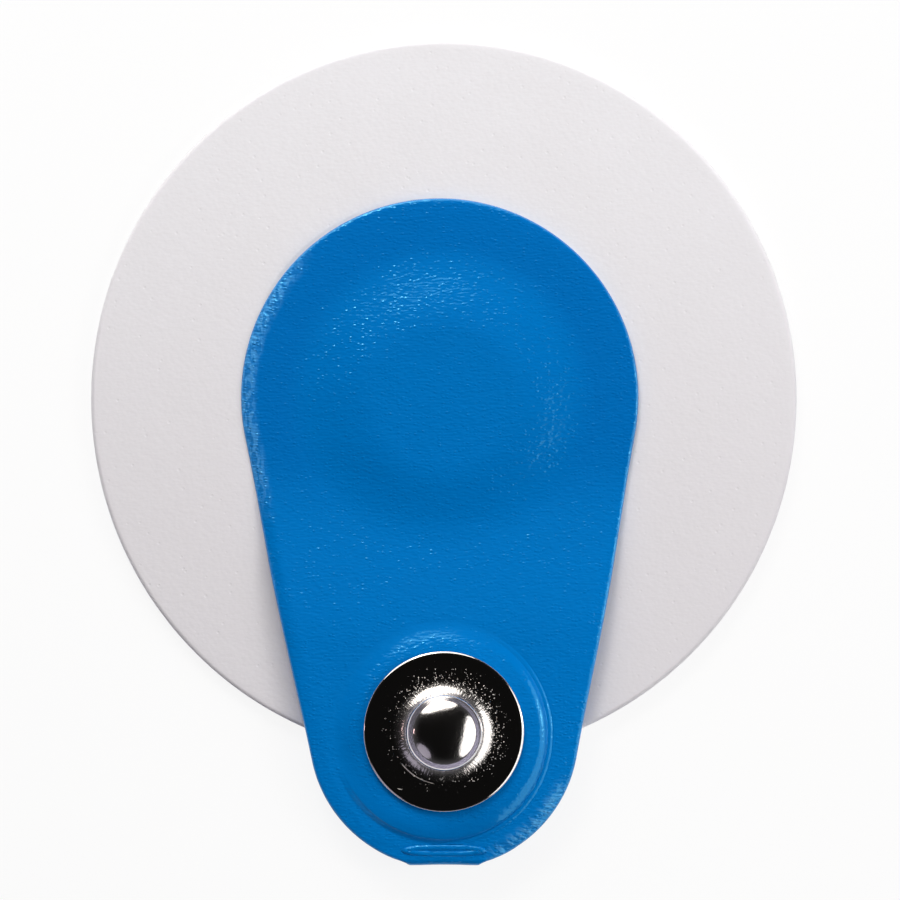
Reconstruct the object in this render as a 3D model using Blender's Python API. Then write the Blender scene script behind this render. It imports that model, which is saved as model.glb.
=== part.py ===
"""Disposable ECG electrode with an offset press stud, lying skin side down.

Origin: centre of the gel pad on the skin plane. +Z points away from the skin, and the stud is
towards -Y. All sizes are in metres. From the skin up: an adhesive foam disc with a round well
that holds the gel pad, a sensor plate in the top of the pad, a lead strip from the sensor to the
stud, and a soft label over all of it. The label runs past the disc as a free tab. There it is
folded under, and the fold holds the stiffening washer and the riveted stud and eyelet.
"""

import math

import bmesh
import bpy
from mathutils import Vector
from mathutils.geometry import delaunay_2d_cdt

# Adhesive disc
DISC_WIDTH = 0.0480
DISC_LENGTH = 0.0487
DISC_THICKNESS = 0.0010
DISC_EDGE_ROUND = 0.00025
WELL_RADIUS = 0.0088

# Gel pad, sensor plate and lead strip
PAD_CLEARANCE = 0.0003
PAD_THICKNESS = 0.0017
SENSOR_RADIUS = 0.0032
SENSOR_THICKNESS = 0.0003
SENSOR_CLEARANCE = 0.0003
STRIP_WIDTH = 0.0024
STRIP_THICKNESS = 0.00008
STRIP_CLEARANCE = 0.0002
STRIP_EYE_RADIUS = 0.0034

# Label, cut from one flat sheet and folded under at the tab's end
LABEL_THICKNESS = 0.0004
LABEL_LEAN = 0.00028
HEAD_AHEAD = 0.00011
HEAD_RADIUS = 0.01351
TAB_PAST_STUD = 0.00018
TAB_RADIUS = 0.00914
TAB_CUT = 0.00014
SIDE_BULGE = 0.00016
NECK_WIDTH = 0.0049
FLAP_SETBACK = 0.00012
DOME_SHOULDER = 0.0018
DOME_FOOT = 0.0015
RISE_OVERLAP = 0.0011
RISE_CLEARANCE = 0.0004
TAB_LIFT = 0.0001

# Press stud, its eyelet and the washer that stiffens the tab. The stud's axis lies a little
# inside the disc's end.
STUD_INSET = 0.00183
STUD_OFFSET = DISC_LENGTH / 2 - STUD_INSET
STUD_SHEET = 0.0003
FLANGE_RADIUS = 0.00543
FLANGE_THICKNESS = 0.00036
BOSS_LAND = 0.00055
BOSS_RISE = 0.00012
BOSS_SLOPE = 0.0002
FILLET_RADIUS = 0.0008
NECK_RADIUS = 0.00225
NECK_LENGTH = 0.0003
HEAD_OVERHANG = 0.00033
HEAD_UNDERSIDE = 0.0006
HEAD_DOME = 0.00125
POST_SHEET = 0.00025
POST_CLEARANCE = 0.0003
FLARE_CLEARANCE = 0.00015
FLARE_WIDTH = 0.0005
FLARE_RISE = 0.0003
EYELET_RADIUS = 0.0042
EYELET_SHEET = 0.00025
WASHER_RADIUS = 0.0061
WASHER_THICKNESS = 0.0004
WASHER_EDGE_ROUND = 0.00015
PLATEAU_MARGIN = 0.00015
PLATEAU_SLOPE = 0.00105
FLAP_BULGE_MARGIN = 0.0002
FLAP_BULGE_SLOPE = 0.0012

# Film of adhesive between layers that are stuck together
BOND = 0.00005

# Heights of the layers, counted up from the skin
PAD_RADIUS = WELL_RADIUS - PAD_CLEARANCE
HEAD_UNDER_Z = DISC_THICKNESS + BOND
DOME_RISE = PAD_THICKNESS - DISC_THICKNESS
FLAP_LOW_Z = DISC_THICKNESS + TAB_LIFT
EYELET_LOW_Z = FLAP_LOW_Z + LABEL_THICKNESS + BOND
EYELET_TOP_Z = EYELET_LOW_Z + EYELET_SHEET
STRIP_LOW_Z = EYELET_TOP_Z + BOND
WASHER_LOW_Z = STRIP_LOW_Z + STRIP_THICKNESS + BOND
WASHER_TOP_Z = WASHER_LOW_Z + WASHER_THICKNESS
PLATEAU_UNDER_Z = WASHER_TOP_Z + BOND
STUD_LOW_Z = PLATEAU_UNDER_Z + LABEL_THICKNESS + BOND
TAB_RISE = WASHER_LOW_Z - HEAD_UNDER_Z
PLATEAU_RISE = PLATEAU_UNDER_Z - WASHER_LOW_Z
FLAP_RIM_UNDER_Z = EYELET_TOP_Z - LABEL_THICKNESS
FLAP_BULGE = FLAP_RIM_UNDER_Z - FLAP_LOW_Z

# The label's round ends. Its head leans a little to -X of the stud.
STUD_CENTRE = (0.0, -STUD_OFFSET)
HEAD_CENTRE = (-LABEL_LEAN, HEAD_AHEAD)
TAB_CENTRE = (0.0, STUD_CENTRE[1] - TAB_PAST_STUD)
TAB_END_Y = TAB_CENTRE[1] - TAB_RADIUS + TAB_CUT

# The fold at the tab's end, and the flap that it brings under the stud. The flap's centre is
# its place on the flat sheet.
TAB_MIDDLE_Z = WASHER_LOW_Z + LABEL_THICKNESS / 2
FLAP_RIM_MIDDLE_Z = EYELET_TOP_Z - LABEL_THICKNESS / 2
FOLD_RADIUS = (TAB_MIDDLE_Z - FLAP_RIM_MIDDLE_Z) / 2
FOLD_AXIS_Z = (TAB_MIDDLE_Z + FLAP_RIM_MIDDLE_Z) / 2
FOLD_LINE_Y = TAB_END_Y + FOLD_RADIUS + LABEL_THICKNESS / 2
FOLD_ARC = math.pi * FOLD_RADIUS
FLAP_RADIUS = STUD_CENTRE[1] - FOLD_LINE_Y - FLAP_SETBACK
FLAP_CENTRE = (STUD_CENTRE[0], 2 * FOLD_LINE_Y - STUD_CENTRE[1] - FOLD_ARC)
RISE_START_Y = RISE_OVERLAP - PAD_RADIUS
RISE_END_Y = STUD_CENTRE[1] + FLAP_RADIUS + RISE_CLEARANCE

# The post fits inside the stud, and the label, washer and strip share its hole
INNER_NECK_RADIUS = NECK_RADIUS - STUD_SHEET
FLARE_RADIUS = INNER_NECK_RADIUS - FLARE_CLEARANCE
POST_RADIUS = FLARE_RADIUS - FLARE_WIDTH
SHANK_HOLE_RADIUS = POST_RADIUS + POST_CLEARANCE

# Fineness of the faceted shapes
TURN_STEPS = 48
DISC_STEPS = 96
HEAD_ARC_POINTS = 24
SIDE_POINTS = 14
TAB_ARC_POINTS = 15
FLAP_ARC_POINTS = 18
FOLD_ROWS = 8
CURVED_SPACING = 0.0003
RISE_SPACING = 0.0008
OPEN_SPACING = 0.0014
MERGE = 1e-7


def clear_scene():
    for thing in list(bpy.data.objects):
        bpy.data.objects.remove(thing)


def material(name, colour, roughness, metallic=0.0):
    finish = bpy.data.materials.new(name)
    finish.use_nodes = True
    shader = finish.node_tree.nodes["Principled BSDF"]
    shader.inputs["Base Color"].default_value = (*colour, 1.0)
    shader.inputs["Roughness"].default_value = roughness
    shader.inputs["Metallic"].default_value = metallic
    return finish


def link_object(name, mesh, finish, place=(0.0, 0.0, 0.0), parent=None):
    made = bpy.data.objects.new(name, mesh)
    bpy.context.scene.collection.objects.link(made)
    mesh.materials.append(finish)
    made.location = place
    made.parent = parent
    return made


def turned(name, profile, steps=TURN_STEPS):
    """A solid of revolution about Z from a profile of (radius, height) points.
    The profile is closed by the axis where it starts and ends there, and by itself elsewhere."""
    bm = bmesh.new()
    points = [bm.verts.new((radius, 0.0, height)) for radius, height in profile]
    edges = [bm.edges.new(pair) for pair in zip(points, points[1:])]
    if profile[0][0] > 0.0 or profile[-1][0] > 0.0:
        edges.append(bm.edges.new((points[-1], points[0])))
    bmesh.ops.spin(
        bm,
        geom=points + edges,
        cent=(0.0, 0.0, 0.0),
        axis=(0.0, 0.0, 1.0),
        angle=math.tau,
        steps=steps,
        use_merge=True,
    )
    return finished_mesh(name, bm)


def finished_mesh(name, bm):
    bmesh.ops.remove_doubles(bm, verts=bm.verts, dist=MERGE)
    bmesh.ops.recalc_face_normals(bm, faces=bm.faces)
    mesh = bpy.data.meshes.new(name)
    bm.to_mesh(mesh)
    bm.free()
    mesh.shade_smooth()
    mesh.set_sharp_from_angle(angle=math.radians(40.0))
    return mesh


def cut_with(target, cutter_mesh, name):
    """Takes the shape of cutter_mesh out of target with a Boolean."""
    cutter = bpy.data.objects.new(name, cutter_mesh)
    bpy.context.scene.collection.objects.link(cutter)
    cutter.hide_render = True
    cutter.display_type = "WIRE"
    cut = target.modifiers.new(name, "BOOLEAN")
    cut.operation = "DIFFERENCE"
    cut.object = cutter


def smooth(value, start, end):
    """0 before start, 1 after end, and an S curve between them."""
    t = min(1.0, max(0.0, (value - start) / (end - start)))
    return t * t * (3.0 - 2.0 * t)


def distance(x, y, centre):
    return math.hypot(x - centre[0], y - centre[1])


def steps_between(first, last, count):
    """count even steps from first to last, both included."""
    return [first + (last - first) * i / (count - 1) for i in range(count)]


def arc(centre, radius, start, end, count):
    """count points along an arc, both ends included."""
    return [
        (centre[0] + radius * math.cos(turn), centre[1] + radius * math.sin(turn))
        for turn in steps_between(start, end, count)
    ]


def ring(centre, radius, count):
    return arc(centre, radius, 0.0, math.tau * (count - 1) / count, count)


def label_rise(x, y):
    """How far the label stands above its own height on the disc, without the stud's plateau.
    It is domed over the gel pad and climbs to the tab, and the two swells merge."""
    dome = DOME_RISE * (
        1.0 - smooth(math.hypot(x, y), PAD_RADIUS - DOME_SHOULDER, PAD_RADIUS + DOME_FOOT)
    )
    tab = TAB_RISE * smooth(-y, -RISE_START_Y, -RISE_END_Y)
    highest = max(DOME_RISE, TAB_RISE)
    return dome + tab - dome * tab / highest


def plateau(x, y):
    """The label's rise over the stiffening washer."""
    edge = WASHER_RADIUS + PLATEAU_MARGIN
    far = distance(x, y, STUD_CENTRE)
    return PLATEAU_RISE * (1.0 - smooth(far, edge, edge + PLATEAU_SLOPE))


def label_middle_z(x, y):
    return HEAD_UNDER_Z + LABEL_THICKNESS / 2 + label_rise(x, y) + plateau(x, y)


def flap_middle_z(x, y):
    edge = EYELET_RADIUS + FLAP_BULGE_MARGIN
    sag = 1.0 - smooth(distance(x, y, STUD_CENTRE), edge, edge + FLAP_BULGE_SLOPE)
    return FLAP_RIM_MIDDLE_Z - FLAP_BULGE * sag


def folded(u, v):
    """Where the point (u, v) of the flat cut sheet lies in the folded label."""
    past = FOLD_LINE_Y - v
    if past <= 0.0:
        return u, v, label_middle_z(u, v)
    if past < FOLD_ARC:
        turn = past / FOLD_RADIUS
        return (
            u,
            FOLD_LINE_Y - FOLD_RADIUS * math.sin(turn),
            FOLD_AXIS_Z + FOLD_RADIUS * math.cos(turn),
        )
    y = FOLD_LINE_Y + past - FOLD_ARC
    return u, y, flap_middle_z(u, y)


def neck_half_width(past):
    """Half the sheet's width at a distance past the fold line. It narrows round the fold."""
    chord = math.sqrt(max(0.0, TAB_RADIUS**2 - (TAB_CENTRE[1] - FOLD_LINE_Y) ** 2))
    neck = NECK_WIDTH / 2
    turn = min(1.0, 2.0 * past / FOLD_ARC) * math.pi / 2
    return neck + (max(chord, neck) - neck) * (1.0 - math.sin(turn))


def label_side(side):
    """One side of the flat cut outline, from the top of the head to the flap's far end, and the
    places in it of the points that start and end the fold. side is 1 towards +X, or -1."""
    head, tab = Vector(HEAD_CENTRE), Vector(TAB_CENTRE)
    along = (tab - head).normalized()
    across = Vector((-along.y, along.x)) * side
    lean = (HEAD_RADIUS - TAB_RADIUS) / (tab - head).length
    normal = along * lean + across * math.sqrt(1.0 - lean * lean)
    lean_angle = math.atan2(normal.y, normal.x * side)

    def mirrored(points):
        return [(head.x + side * (x - head.x), y) for x, y in points]

    points = mirrored(arc(head, HEAD_RADIUS, math.pi / 2, lean_angle, HEAD_ARC_POINTS))
    start, end = head + normal * HEAD_RADIUS, tab + normal * TAB_RADIUS
    for i in range(1, SIDE_POINTS):
        t = i / SIDE_POINTS
        bulge = SIDE_BULGE * math.sin(math.pi * t) ** 2
        points.append(tuple(start.lerp(end, t) + normal * bulge))
    fold_angle = -math.asin(min(1.0, (tab.y - FOLD_LINE_Y) / TAB_RADIUS))
    tab_arc = arc((0.0, tab.y), TAB_RADIUS, lean_angle, fold_angle, TAB_ARC_POINTS)
    points += [(tab.x + side * x, y) for x, y in tab_arc[:-1]]
    fold_start = len(points)
    for past in steps_between(0.0, FOLD_ARC, FOLD_ROWS + 1):
        points.append((side * neck_half_width(past), FOLD_LINE_Y - past))
    fold_end = len(points)
    flap_start = math.acos(NECK_WIDTH / 2 / FLAP_RADIUS)
    flap_arc = arc(FLAP_CENTRE, FLAP_RADIUS, flap_start, -math.pi / 2, FLAP_ARC_POINTS)
    points += [(side * x, y) for x, y in flap_arc]
    return points, range(fold_start, fold_end)


def label_outline():
    """The flat cut outline of the label as one closed loop, and the rows across its fold."""
    right, fold = label_side(1)
    left, _ = label_side(-1)
    outline = right + left[-2:0:-1]
    return outline, [(row, len(outline) - row) for row in fold]


def rings_about(centre, first, last, rings, count):
    return [
        point
        for radius in steps_between(first, last, rings)
        for point in ring(centre, radius, count)
    ]


def rows_across(first_y, last_y, rows, half_width, count):
    return [
        (x, y)
        for y in steps_between(first_y, last_y, rows)
        for x in steps_between(-half_width, half_width, count)
    ]


def label_inner_points():
    """Points inside the label's outline, close together where its surface curves. Each group
    comes with the clearance that its points keep from all before them."""
    dome = rings_about((0.0, 0.0), PAD_RADIUS - DOME_SHOULDER, PAD_RADIUS + DOME_FOOT, 6, 44)
    washer_edge = WASHER_RADIUS + PLATEAU_MARGIN
    washer_rings = rings_about(STUD_CENTRE, washer_edge, washer_edge + PLATEAU_SLOPE, 4, 44)
    eyelet_edge = EYELET_RADIUS + FLAP_BULGE_MARGIN
    flap_rings = rings_about(FLAP_CENTRE, eyelet_edge, eyelet_edge + FLAP_BULGE_SLOPE, 4, 32)
    rise = rows_across(RISE_START_Y, RISE_END_Y, 8, HEAD_RADIUS, 20)
    field = rows_across(HEAD_RADIUS, FLAP_CENTRE[1] - FLAP_RADIUS, 26, HEAD_RADIUS, 12)
    return [
        (CURVED_SPACING, dome),
        (CURVED_SPACING, washer_rings),
        (CURVED_SPACING, flap_rings),
        (RISE_SPACING, rise),
        (OPEN_SPACING, field),
    ]


def inside(point, loop):
    """Whether a point lies inside a closed loop of points."""
    x, y = point
    crossings = 0
    for (ax, ay), (bx, by) in zip(loop, loop[1:] + loop[:1]):
        if (ay > y) != (by > y) and x < ax + (y - ay) * (bx - ax) / (by - ay):
            crossings += 1
    return crossings % 2 == 1


def sheet(name, outline, hole, creases, inner, place_of):
    """The middle surface of a sheet: the flat outline, less its hole, laid on a curved surface.
    creases are pairs of outline points joined by an edge, and place_of turns a flat point into
    its place in space."""
    points = outline + hole
    first = len(outline)
    edges = [(i, (i + 1) % first) for i in range(first)]
    edges += [(first + i, first + (i + 1) % len(hole)) for i in range(len(hole))]
    edges += creases

    def on_sheet(point):
        return inside(point, outline) and not inside(point, hole)

    for clearance, group in inner:
        placed = list(points)
        points += [
            point
            for point in group
            if on_sheet(point) and all(math.dist(point, other) > clearance for other in placed)
        ]
    flat = [Vector(point) for point in points]
    corners, _, faces, _, _, _ = delaunay_2d_cdt(flat, edges, [], 0, MERGE)
    bm = bmesh.new()
    verts = [bm.verts.new(place_of(corner.x, corner.y)) for corner in corners]
    for face in faces:
        middle = sum((corners[i] for i in face), Vector((0.0, 0.0))) / len(face)
        if on_sheet(middle):
            bm.faces.new([verts[i] for i in face])
    loose = [vert for vert in bm.verts if not vert.link_faces]
    bmesh.ops.delete(bm, geom=loose, context="VERTS")
    return finished_mesh(name, bm)


def thicken(target, thickness):
    wall = target.modifiers.new("sheet_thickness", "SOLIDIFY")
    wall.thickness = thickness
    wall.offset = 0.0
    wall.use_even_offset = True


def rounded_corner(corner, radius, start, end, count=4):
    """Points of a rounded corner of a profile, about the centre of its rounding."""
    return arc(corner, radius, math.radians(start), math.radians(end), count)


def adhesive_disc(finish):
    """The foam disc, slightly longer than wide, with the round well for the gel pad."""
    half = DISC_WIDTH / 2
    profile = [(0.0, 0.0), (half, 0.0)]
    profile += rounded_corner(
        (half - DISC_EDGE_ROUND, DISC_THICKNESS - DISC_EDGE_ROUND), DISC_EDGE_ROUND, 0, 90
    )
    profile.append((0.0, DISC_THICKNESS))
    mesh = turned("adhesive_disc", profile, DISC_STEPS)
    for vert in mesh.vertices:
        vert.co.y *= DISC_LENGTH / DISC_WIDTH
    disc = link_object("adhesive_disc", mesh, finish)
    well = cylinder(WELL_RADIUS, -DISC_THICKNESS, 2 * DISC_THICKNESS)
    cut_with(disc, turned("well_cutter", well, DISC_STEPS), "well_cutter")


def cylinder(radius, low, high):
    return [(0.0, low), (radius, low), (radius, high), (0.0, high)]


def gel_pad(finish):
    """The gel-soaked sponge. Its top follows the label's dome, with a recess for the sensor
    plate and a channel for the lead strip."""
    shoulder = PAD_RADIUS - DOME_SHOULDER
    profile = [(0.0, 0.0), (PAD_RADIUS, 0.0)]
    for radius in steps_between(PAD_RADIUS, shoulder, 6):
        rise = DOME_RISE * (1.0 - smooth(radius, shoulder, PAD_RADIUS + DOME_FOOT))
        profile.append((radius, DISC_THICKNESS + rise))
    profile.append((0.0, PAD_THICKNESS))
    pad = link_object("gel_pad", turned("gel_pad", profile), finish)
    sensor_low_z = PAD_THICKNESS - STRIP_THICKNESS - BOND - SENSOR_THICKNESS
    floor_z = min(sensor_low_z, strip_under_z(0.0, -PAD_RADIUS)) - BOND
    recess = turned(
        "sensor_recess",
        cylinder(SENSOR_RADIUS + SENSOR_CLEARANCE, floor_z, PAD_THICKNESS + DISC_THICKNESS),
    )
    cut_with(pad, recess, "sensor_recess")
    half = STRIP_WIDTH / 2 + STRIP_CLEARANCE
    bm = bmesh.new()
    bmesh.ops.create_cube(bm, size=1.0)
    for vert in bm.verts:
        vert.co.x *= 2 * half
        vert.co.y = (vert.co.y - 0.5) * (PAD_RADIUS + DOME_FOOT)
        vert.co.z = floor_z if vert.co.z < 0.0 else PAD_THICKNESS + DISC_THICKNESS
    cut_with(pad, finished_mesh("strip_channel", bm), "strip_channel")


def sensor_plate(finish):
    """The round silver-coated plate that reads the skin through the gel."""
    low = PAD_THICKNESS - STRIP_THICKNESS - BOND - SENSOR_THICKNESS
    round_edge = SENSOR_THICKNESS / 3
    profile = [(0.0, 0.0), (SENSOR_RADIUS - round_edge, 0.0)]
    profile += [(SENSOR_RADIUS, round_edge), (SENSOR_RADIUS, SENSOR_THICKNESS - round_edge)]
    profile += [(SENSOR_RADIUS - round_edge, SENSOR_THICKNESS), (0.0, SENSOR_THICKNESS)]
    link_object("sensor_plate", turned("sensor_plate", profile), finish, (0.0, 0.0, low))


def strip_middle_z(x, y):
    """The lead strip hugs the underside of the label, but stays below the washer."""
    return HEAD_UNDER_Z + label_rise(x, y) - BOND - STRIP_THICKNESS / 2


def strip_under_z(x, y):
    return strip_middle_z(x, y) - STRIP_THICKNESS / 2


def lead_strip(finish):
    """The thin conductor from the sensor plate to the eye under the stud."""
    half = STRIP_WIDTH / 2
    eye_half_angle = math.asin(half / STRIP_EYE_RADIUS)
    turn = math.pi / 2 - eye_half_angle
    outline = arc((0.0, 0.0), half, 0.0, math.pi, 9)
    eye = arc(STUD_CENTRE, STRIP_EYE_RADIUS, math.pi - turn, math.tau + turn, 30)
    run = steps_between(0.0, eye[0][1], 24)[1:-1]
    outline += [(-half, y) for y in run] + eye + [(half, y) for y in reversed(run)]
    hole = ring(STUD_CENTRE, SHANK_HOLE_RADIUS, 24)

    def on_label(x, y):
        return x, y, strip_middle_z(x, y)

    strip = link_object("lead_strip", sheet("lead_strip", outline, hole, [], [], on_label), finish)
    thicken(strip, STRIP_THICKNESS)


def label(finish):
    """The whole label: head, tab, the narrow neck that is folded under, and the round flap."""
    outline, fold_rows = label_outline()
    hole = ring(STUD_CENTRE, SHANK_HOLE_RADIUS, 24)
    mesh = sheet("label", outline, hole, fold_rows, label_inner_points(), folded)
    skin = link_object("label", mesh, finish)
    thicken(skin, LABEL_THICKNESS)


def stiffening_washer(finish, parent):
    edge = WASHER_RADIUS - WASHER_EDGE_ROUND
    profile = [(SHANK_HOLE_RADIUS, 0.0), (WASHER_RADIUS, 0.0)]
    profile += rounded_corner(
        (edge, WASHER_THICKNESS - WASHER_EDGE_ROUND), WASHER_EDGE_ROUND, 0, 90
    )
    profile.append((SHANK_HOLE_RADIUS, WASHER_THICKNESS))
    mesh = turned("stiffening_washer", profile)
    link_object("stiffening_washer", mesh, finish, (0.0, 0.0, WASHER_LOW_Z), parent)


def stud_outer_profile():
    """The stud's outside from its rim to the top of its head, as (radius, height)."""
    rim = FLANGE_THICKNESS / 2
    boss_z = FLANGE_THICKNESS + BOSS_RISE
    fillet_edge = NECK_RADIUS + FILLET_RADIUS
    boss_edge = fillet_edge + BOSS_LAND
    head_radius = NECK_RADIUS + HEAD_OVERHANG
    neck_z = boss_z + FILLET_RADIUS
    underside_z = neck_z + NECK_LENGTH
    equator_z = underside_z + HEAD_UNDERSIDE
    profile = rounded_corner((FLANGE_RADIUS - rim, rim), rim, -90, 90, 7)
    profile += [(boss_edge + BOSS_SLOPE, FLANGE_THICKNESS), (boss_edge, boss_z)]
    profile += rounded_corner((fillet_edge, neck_z), FILLET_RADIUS, 270, 180, 7)
    for t in steps_between(0.0, 1.0, 6)[1:-1]:
        out = HEAD_OVERHANG * smooth(t, 0.0, 1.0)
        profile.append((NECK_RADIUS + out, underside_z + HEAD_UNDERSIDE * t))
    for turn in steps_between(0.0, math.pi / 2, 10)[:-1]:
        profile.append((head_radius * math.cos(turn), equator_z + HEAD_DOME * math.sin(turn)))
    profile.append((0.0, equator_z + HEAD_DOME))
    return profile, underside_z, equator_z


def stud(finish, parent):
    """The drawn press stud. It is a shell, and its lower edge is rolled inwards under the flange
    to grip the flared post of the eyelet."""
    profile, underside_z, equator_z = stud_outer_profile()
    inner_head = INNER_NECK_RADIUS + HEAD_OVERHANG
    lip_z = FLANGE_THICKNESS / 2
    inside_dome = HEAD_DOME - STUD_SHEET
    profile.append((0.0, equator_z + inside_dome))
    profile += [
        (inner_head * math.sin(turn), equator_z + inside_dome * math.cos(turn))
        for turn in steps_between(0.0, math.pi / 2, 7)[1:]
    ]
    profile += [(INNER_NECK_RADIUS, underside_z), (INNER_NECK_RADIUS, lip_z)]
    profile += [(SHANK_HOLE_RADIUS, lip_z), (SHANK_HOLE_RADIUS, 0.0)]
    mesh = turned("stud", profile)
    link_object("stud", mesh, finish, (0.0, 0.0, STUD_LOW_Z), parent)


def eyelet(finish, parent):
    """The lower half of the snap: a flanged tube whose closed top is flared inside the stud."""
    lip_top = STUD_LOW_Z + FLANGE_THICKNESS / 2 + BOND - EYELET_LOW_Z
    top = lip_top + FLARE_RISE
    bore = POST_RADIUS - POST_SHEET
    profile = [(bore, 0.0), (EYELET_RADIUS, 0.0), (EYELET_RADIUS, EYELET_SHEET)]
    profile += [(POST_RADIUS, EYELET_SHEET), (POST_RADIUS, lip_top)]
    profile += [(FLARE_RADIUS, lip_top), (FLARE_RADIUS, top - POST_SHEET / 3)]
    profile += [(POST_RADIUS, top), (0.0, top), (0.0, top - POST_SHEET)]
    profile.append((bore, top - POST_SHEET))
    mesh = turned("eyelet", profile)
    link_object("eyelet", mesh, finish, (0.0, 0.0, EYELET_LOW_Z), parent)


def build():
    clear_scene()
    stud_axis = bpy.data.objects.new("stud_axis", None)
    bpy.context.scene.collection.objects.link(stud_axis)
    stud_axis.location = (*STUD_CENTRE, 0.0)
    adhesive_disc(material("white_foam", (0.80, 0.78, 0.79), 0.9))
    gel_pad(material("gel_sponge", (0.80, 0.78, 0.66), 0.3))
    sensor_plate(material("silver_chloride", (0.36, 0.35, 0.38), 0.6, 0.4))
    lead_strip(material("carbon_film", (0.03, 0.03, 0.035), 0.5))
    label(material("blue_vinyl", (0.0, 0.155, 0.50), 0.45))
    stiffening_washer(material("white_plastic", (0.75, 0.75, 0.73), 0.45), stud_axis)
    stud(material("polished_nickel", (0.60, 0.57, 0.52), 0.12, 1.0), stud_axis)
    eyelet(material("silvered_brass", (0.66, 0.64, 0.60), 0.25, 1.0), stud_axis)


build()
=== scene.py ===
"""The finished look of a disposable ECG electrode with an offset press stud.

It lies skin side down under soft studio lights. The foam disc, the sponge, the label and the stud
are made here in fine detail around the fixed model, and the hidden inner pieces keep their shape
and get their finish. All lengths are in metres, and MM turns millimetres into them.
"""

import math

import bmesh
import bpy
import numpy as np
from mathutils import Matrix, Vector
from mathutils.geometry import delaunay_2d_cdt
from mathutils.kdtree import KDTree


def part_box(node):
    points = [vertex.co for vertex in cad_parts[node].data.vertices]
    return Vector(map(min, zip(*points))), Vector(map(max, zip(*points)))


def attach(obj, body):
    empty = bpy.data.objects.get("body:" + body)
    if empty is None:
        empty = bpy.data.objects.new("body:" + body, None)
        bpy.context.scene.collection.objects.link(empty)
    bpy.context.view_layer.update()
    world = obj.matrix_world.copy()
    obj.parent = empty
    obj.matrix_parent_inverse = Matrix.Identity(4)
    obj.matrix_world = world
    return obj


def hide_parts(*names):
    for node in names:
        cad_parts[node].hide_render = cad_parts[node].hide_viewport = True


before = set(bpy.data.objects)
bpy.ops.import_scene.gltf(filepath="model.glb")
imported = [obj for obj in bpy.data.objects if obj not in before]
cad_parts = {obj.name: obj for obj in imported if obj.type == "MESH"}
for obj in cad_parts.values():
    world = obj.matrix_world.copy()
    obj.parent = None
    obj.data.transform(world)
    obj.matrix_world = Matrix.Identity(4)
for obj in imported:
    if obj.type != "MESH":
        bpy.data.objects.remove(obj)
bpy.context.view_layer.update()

MM = 0.001

# Boxes of the fixed model's pieces, from which the sizes below are worked out
DISC_LOW, DISC_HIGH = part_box("adhesive_disc")
PAD_LOW, PAD_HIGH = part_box("gel_pad")
LABEL_LOW, LABEL_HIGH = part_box("label")
WASHER_LOW, WASHER_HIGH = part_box("stiffening_washer")
STUD_LOW, STUD_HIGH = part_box("stud")
EYELET_LOW, EYELET_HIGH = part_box("eyelet")

# Foam disc and sponge
WELL_RADIUS = 8.8 * MM
DISC_EDGE_ROUND = 0.3 * MM
DISC_FOOT_BEVEL = 0.05 * MM
DISC_SECTORS = 480
PEBBLE_ROOM = 0.01 * MM
PAD_RADIUS = (PAD_HIGH.x - PAD_LOW.x) / 2
PAD_EDGE_ROUND = 0.25 * MM
PAD_SECTORS = 200
SENSOR_GAP = 0.03 * MM

# Label: a flat cut sheet with two round ends, folded under at a narrow neck
LABEL_THICKNESS = 0.4 * MM
HEAD_RADIUS = (LABEL_HIGH.x - LABEL_LOW.x) / 2
HEAD_CENTRE = ((LABEL_HIGH.x + LABEL_LOW.x) / 2, LABEL_HIGH.y - HEAD_RADIUS)
TAB_RADIUS = 9.14 * MM
TAB_PAST_STUD = 0.18 * MM
SIDE_BULGE = 0.16 * MM
NECK_WIDTH = 4.9 * MM
FLAP_SETBACK = 0.12 * MM
DOME_SHOULDER = 1.8 * MM
DOME_FOOT = 1.5 * MM
RISE_OVERLAP = 1.1 * MM
RISE_CLEARANCE = 0.4 * MM
EYELET_SHEET = 0.25 * MM
EYELET_MARGIN = 0.2 * MM
FLAP_BULGE_SLOPE = 1.2 * MM
WASHER_MARGIN = 0.15 * MM
PLATEAU_SLOPE = 1.15 * MM

# Places on the label that follow from the model's boxes
STUD_X = (STUD_LOW.x + STUD_HIGH.x) / 2
STUD_Y = (STUD_LOW.y + STUD_HIGH.y) / 2
TAB_CENTRE = (STUD_X, STUD_Y - TAB_PAST_STUD)
WASHER_RADIUS = (WASHER_HIGH.x - WASHER_LOW.x) / 2
EYELET_RADIUS = (EYELET_HIGH.x - EYELET_LOW.x) / 2
BOND = 0.05 * MM
HEAD_UNDER_Z = DISC_HIGH.z + BOND
DOME_RISE = PAD_HIGH.z - DISC_HIGH.z
TAB_MIDDLE_Z = WASHER_LOW.z + LABEL_THICKNESS / 2
TAB_RISE = WASHER_LOW.z - HEAD_UNDER_Z
PLATEAU_RISE = WASHER_HIGH.z - WASHER_LOW.z + BOND
PLATEAU_EDGE = WASHER_RADIUS + WASHER_MARGIN
FLAP_RIM_MIDDLE_Z = EYELET_LOW.z + EYELET_SHEET - LABEL_THICKNESS / 2
FLAP_BULGE = FLAP_RIM_MIDDLE_Z - LABEL_THICKNESS / 2 - LABEL_LOW.z
FOLD_RADIUS = (TAB_MIDDLE_Z - FLAP_RIM_MIDDLE_Z) / 2
FOLD_AXIS_Z = (TAB_MIDDLE_Z + FLAP_RIM_MIDDLE_Z) / 2
FOLD_LINE_Y = LABEL_LOW.y + FOLD_RADIUS + LABEL_THICKNESS / 2
FOLD_ARC = math.pi * FOLD_RADIUS
FLAP_RADIUS = STUD_Y - FOLD_LINE_Y - FLAP_SETBACK
FLAP_CENTRE = (STUD_X, 2 * FOLD_LINE_Y - STUD_Y - FOLD_ARC)
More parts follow.
